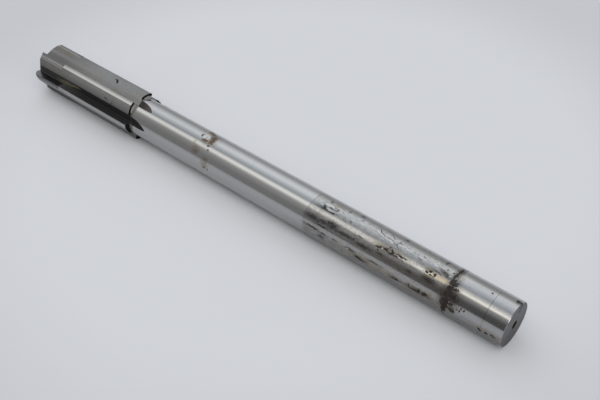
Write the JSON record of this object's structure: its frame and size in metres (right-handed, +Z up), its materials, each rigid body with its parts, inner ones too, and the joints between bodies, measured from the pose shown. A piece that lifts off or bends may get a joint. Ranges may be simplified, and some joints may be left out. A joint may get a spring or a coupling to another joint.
{
  "type": "chucking reamer",
  "caption": "Long straight-shank machine reamer with straight flutes and brazed carbide cutting tips, for bringing a drilled hole to size.",
  "frame": {"origin": "centre of the shank's end face, on the tool's axis", "axes": "+X along the tool's axis from the shank's end to the cutting end, +Z up as the tool lies, +Y to the side"},
  "size_m": [0.2286, 0.0198, 0.0182],
  "materials": {
    "steel": "ground and worn, with rust spots and stains",
    "carbide": "ground, darker than the steel"
  },
  "bodies": {
    "root": {"reamer_body": "steel", "carbide_tip_1": "carbide", "carbide_tip_2": "carbide", "carbide_tip_3": "carbide", "carbide_tip_4": "carbide", "carbide_tip_5": "carbide", "carbide_tip_6": "carbide"}
  },
  "joints": []
}
